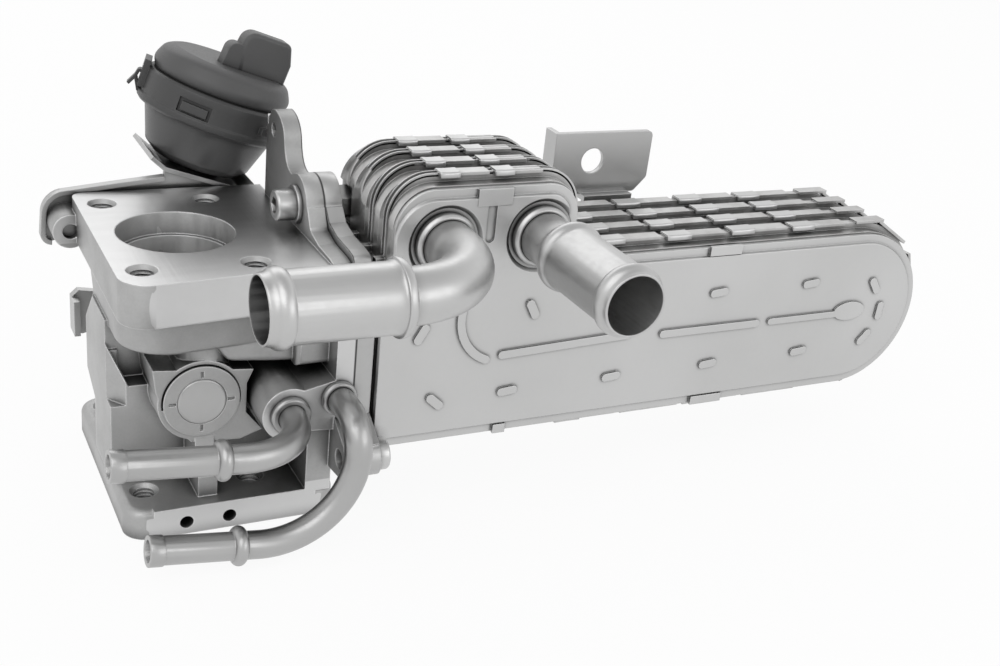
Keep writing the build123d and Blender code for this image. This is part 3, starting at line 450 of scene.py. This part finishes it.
def seam_middles():
    """Y of the seam of each plate layer, from the back."""
    return [CORE_BACK - (layer + 0.5) * LAYER for layer in range(LAYERS)]


# Folded clips of the plate seams: a short wrap at the start of each strip

CLIP_LEN, HUMP_CLIP_LEN = 0.0098, 0.0066
CLIP_START = 0.0002      # from the tab's left end
CLIP_PROUD, HUMP_CLIP_PROUD = 0.00035, 0.0003
TABS_MIDDLE = 0.1543
TAB_SHIFT = 0.0011       # the upper tabs lie this far to the left of an even row
LOW_SHIFT = 0.0080       # and the lower ones this much further
TAB_SINK = 0.00025       # every other tab sits lower
HUMP_TABS = (0.0687, 0.0871)             # left ends of the two tabs on the hump


def wrap(bm, start, long, y_mid, top, way):
    """Sheet folded over a seam strip along X, with a leg down its front and back. way is -1 underneath."""
    half, thick, leg, corner, sag = 0.0026, 0.0005, 0.0019, 0.0004, 0.00012
    inner, under = half - thick, thick * 1.6
    outline = [(-half, -leg), (-half, -thick), (-half + corner, 0.0), (half - corner, 0.0), (half, -thick),
               (half, -leg), (inner, -leg), (inner, -under), (-inner, -under), (-inner, -leg)]
    rows = []
    steps = 4
    for k in range(steps + 1):
        low = sag * math.sin(math.pi * k / steps)
        rows.append([(start + long * k / steps, y_mid + y, top + way * (z - low)) for y, z in outline])
    skin(bm, rows)


def seam_clips(bm):
    for y_mid in seam_middles():
        for i in range(-1, 3):
            left = TABS_MIDDLE + (i + 0.5) * TAB_PITCH - TAB_SHIFT - TAB_LEN / 2 + CLIP_START
            out = TAB_OUT + CLIP_PROUD - (0.0 if i % 2 else TAB_SINK)
            wrap(bm, left, CLIP_LEN, y_mid, out, 1)
            wrap(bm, left - LOW_SHIFT, CLIP_LEN, y_mid, -CORE_HEIGHT - out, -1)
        for x in HUMP_TABS:
            wrap(bm, x + CLIP_START, HUMP_CLIP_LEN, y_mid, HUMP_RISE + TAB_OUT + HUMP_CLIP_PROUD, 1)


clips = add_piece("seam_clips", seam_clips, clip_steel)
clips.modifiers.new("round", "BEVEL").width = 0.00012


# Thin sheet lips of the seams where they run over the hump

SEAM_TOP = HUMP_RISE + SEAM_OUT
SEAM_RIGHT = HUMP_RIGHT + SEAM_OUT
LEFT_R, RIGHT_R = 0.0130, 0.0132         # upper corners of the hump
LEFT_FOOT, RIGHT_FOOT = 0.0030, 0.0068
OVER_EAR = 0.0215        # the two rear layers' lips start here, over the flange's ear
REAR_LAYERS = 2
LIP_ROOT, LIP_OUT = 0.0006, 0.00055      # into the seam and beyond it
LIP_THICK = 0.0004
SEAM_HALF = 0.0013


def quarter(x, z, radius, start, steps=12):
    """Quarter circle in XZ, clockwise from an angle."""
    angles = [start - k * math.pi / 2 / steps for k in range(steps + 1)]
    return [(x + radius * math.cos(a), z + radius * math.sin(a)) for a in angles]


def lip_edges(z_start):
    """Pairs of a lip's inner and outer point in XZ, over the hump from z_start to its right foot."""
    rises, falls = [], []
    for out in (-LIP_ROOT, LIP_OUT):
        rises.append([(HUMP_LEFT - out, LEFT_FOOT)]
                     + quarter(HUMP_LEFT + LEFT_R, SEAM_TOP - LEFT_R, LEFT_R + out, math.pi))
        falls.append(quarter(SEAM_RIGHT - RIGHT_R, SEAM_TOP - RIGHT_R, RIGHT_R + out, math.pi / 2)
                     + [(SEAM_RIGHT + out, RIGHT_FOOT)])
    return [pair for pair in zip(*rises) if pair[0][1] >= z_start] + list(zip(*falls))


def seam_lips(bm):
    for layer, y_mid in enumerate(seam_middles()):
        edges = lip_edges(OVER_EAR if layer < REAR_LAYERS else LEFT_FOOT)
        for y in (y_mid - SEAM_HALF, y_mid + SEAM_HALF - LIP_THICK):
            skin(bm, [[(x0, y, z0), (x1, y, z1), (x1, y + LIP_THICK, z1), (x0, y + LIP_THICK, z0)]
                      for (x0, z0), (x1, z1) in edges])


add_piece("seam_lips", seam_lips, clip_steel)


# Camera, floor, world and lights

def set_camera():
    data = bpy.data.cameras.new("camera")
    data.lens = LENS_MM
    data.sensor_width = SENSOR_MM
    data.sensor_fit = "HORIZONTAL"
    data.clip_end = 20.0
    camera = bpy.data.objects.new("camera", data)
    back = -Vector(CAMERA_AHEAD)
    turn = Matrix((CAMERA_RIGHT, CAMERA_UP, back)).transposed().to_4x4()
    camera.matrix_world = Matrix.Translation(CAMERA_AT) @ turn
    bpy.context.collection.objects.link(camera)
    bpy.context.scene.camera = camera


def backdrop_share(g, seen, mirrored):
    """How far a ray sees the white backdrop: camera and glass rays by seen, metal rays by mirrored."""
    path = g.node("ShaderNodeLightPath", {}).outputs
    direct = g.calc("MAXIMUM", path["Is Camera Ray"], path["Is Transmission Ray"])
    glossy = g.calc("MULTIPLY", path["Is Glossy Ray"], mirrored)
    return g.calc("MAXIMUM", g.calc("MULTIPLY", direct, seen), glossy)


def floor():
    """Pale floor: white to the camera, with the object's soft shadow kept."""
    bpy.ops.mesh.primitive_plane_add(size=12, location=(0.05, 0.0, FLOOR_Z))
    ground = bpy.context.object
    ground.name = "floor"
    g = Graph(bpy.data.materials.new("floor_paper"))
    shader = g.tree.nodes["Principled BSDF"]
    shader.inputs["Base Color"].default_value = (0.90, 0.90, 0.90, 1)
    shader.inputs["Roughness"].default_value = 0.9
    shader.inputs["Specular IOR Level"].default_value = 0.1
    glow = g.node("ShaderNodeEmission", {"Strength": 1.0})
    share = backdrop_share(g, seen=0.92, mirrored=0.86)
    blend = g.node("ShaderNodeMixShader", {0: share, 1: shader.outputs[0], 2: glow.outputs[0]})
    g.feed(g.tree.nodes["Material Output"].inputs["Surface"], blend.outputs[0])
    ground.data.materials.append(g.owner)


SKY_STOPS = [(0.0, 0.86), (0.20, 0.95), (0.45, 1.0), (0.75, 0.66), (1.0, 0.42)]


def world():
    """White to the eye; a soft studio gradient for what the metal reflects and what lights it."""
    sky = bpy.data.worlds.new("studio")
    bpy.context.scene.world = sky
    g = Graph(sky)
    stops = [(place, (value, value, value)) for place, value in SKY_STOPS]
    gradient = g.tint(g.coordinate("Generated", "Z"), *stops)
    share = backdrop_share(g, seen=1.0, mirrored=0.35)
    back = g.tree.nodes["Background"].inputs
    g.feed(back["Color"], g.mix_color(share, gradient, (1, 1, 1, 1)))
    g.feed(back["Strength"], 1.0)


def softbox(name, at, aim, size, watts):
    data = bpy.data.lights.new(name, "AREA")
    data.shape = "RECTANGLE"
    data.size, data.size_y = size
    data.energy = watts
    lamp = bpy.data.objects.new(name, data)
    lamp.location = at
    lamp.rotation_euler = (Vector(aim) - Vector(at)).to_track_quat("-Z", "Y").to_euler()
    bpy.context.collection.objects.link(lamp)


set_camera()
floor()
world()
softbox("key", at=(-0.55, -0.6, 0.95), aim=(0.08, 0, -0.02), size=(1.1, 1.1), watts=4.2)
softbox("fill", at=(0.75, -0.9, 0.35), aim=(0.12, 0, -0.02), size=(0.9, 0.6), watts=1.5)
softbox("rim", at=(0.2, 0.9, 0.7), aim=(0.1, 0, -0.02), size=(1.2, 0.5), watts=1.8)

view = bpy.context.scene.view_settings
view.view_transform = "Standard"
